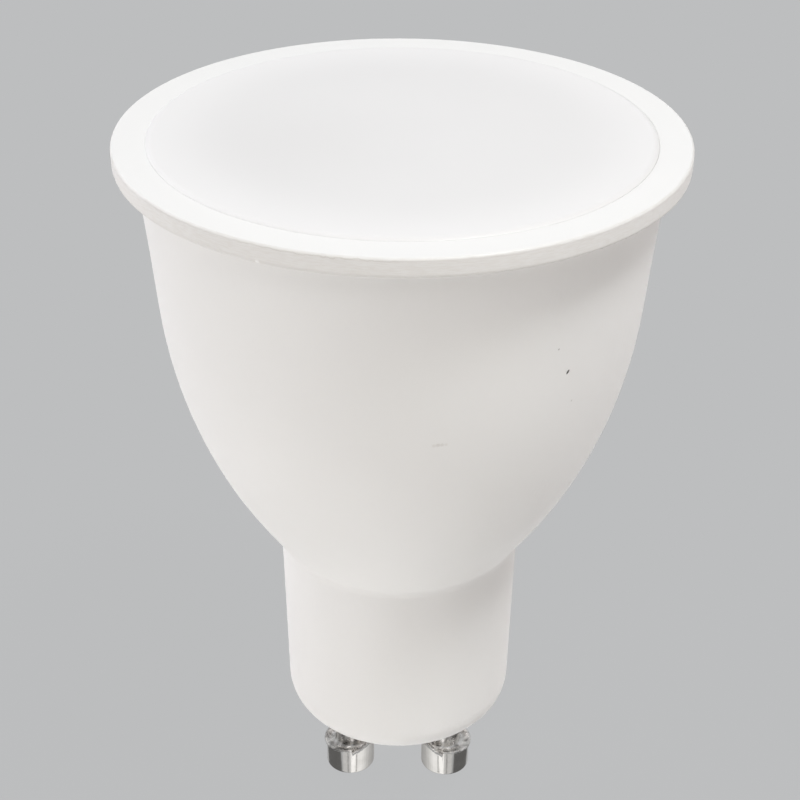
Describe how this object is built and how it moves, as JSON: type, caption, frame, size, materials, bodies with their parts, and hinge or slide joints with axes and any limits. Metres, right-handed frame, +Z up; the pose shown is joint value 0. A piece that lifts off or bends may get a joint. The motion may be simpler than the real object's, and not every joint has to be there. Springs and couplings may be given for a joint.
{
  "type": "gu10 spotlight bulb",
  "caption": "White bowl-shaped LED spot lamp with a flat milky light face, a round neck and studded contact pins for a twist-lock holder.",
  "frame": {"origin": "middle of the neck's seating face, between the two contact pins", "axes": "+Z up the lamp's axis towards the light face, X through both contact pins"},
  "size_m": [0.05, 0.05, 0.0713],
  "materials": {
    "white_shell": "satin moulded white",
    "milky_cover": "milky translucent, smooth",
    "drawn_aluminium": "drawn, bare",
    "thermal_paste": "pasty",
    "white_board": "white solder mask on aluminium",
    "led_case": "matte",
    "led_phosphor": "clear gel",
    "ivory_plastic": "matte",
    "nickel_plate": "bright nickel plate",
    "wire_insulation": "smooth",
    "green_board": "solder mask",
    "fuse_lacquer": "lacquered",
    "film_case": "glossy",
    "can_sleeve": "shrunk sleeve",
    "ferrite": "ground",
    "enamelled_wire": "enamelled copper wire",
    "tinned_wire": "tinned",
    "black_plastic": "moulded",
    "yellow_tape": "film tape",
    "chip_ceramic": "fired"
  },
  "bodies": {
    "root": {"housing": "white_shell", "diffuser_cover": "milky_cover", "heat_sink": "drawn_aluminium", "thermal_paste": "thermal_paste", "led_board": "white_board", "led_packages": "led_case", "led_phosphors": "led_phosphor", "led_board_socket": "ivory_plastic", "contact_pin_left": "nickel_plate", "contact_pin_right": "nickel_plate", "input_wire_left": "wire_insulation", "input_wire_right": "wire_insulation", "driver_board": "green_board", "fuse_resistor": "fuse_lacquer", "film_capacitor": "film_case", "output_capacitor": "can_sleeve", "input_capacitor": "can_sleeve", "choke_core": "ferrite", "choke_winding": "enamelled_wire", "choke_pins": "tinned_wire", "transformer_core": "ferrite", "transformer_bobbin": "black_plastic", "transformer_winding": "enamelled_wire", "transformer_pins": "tinned_wire", "transformer_tape": "yellow_tape", "bridge_rectifier": "black_plastic", "driver_ic": "black_plastic", "output_diode": "black_plastic", "chip_resistors": "chip_ceramic", "chip_capacitors": "chip_ceramic", "plug_holder": "black_plastic", "plug_pins": "tinned_wire"}
  },
  "joints": []
}
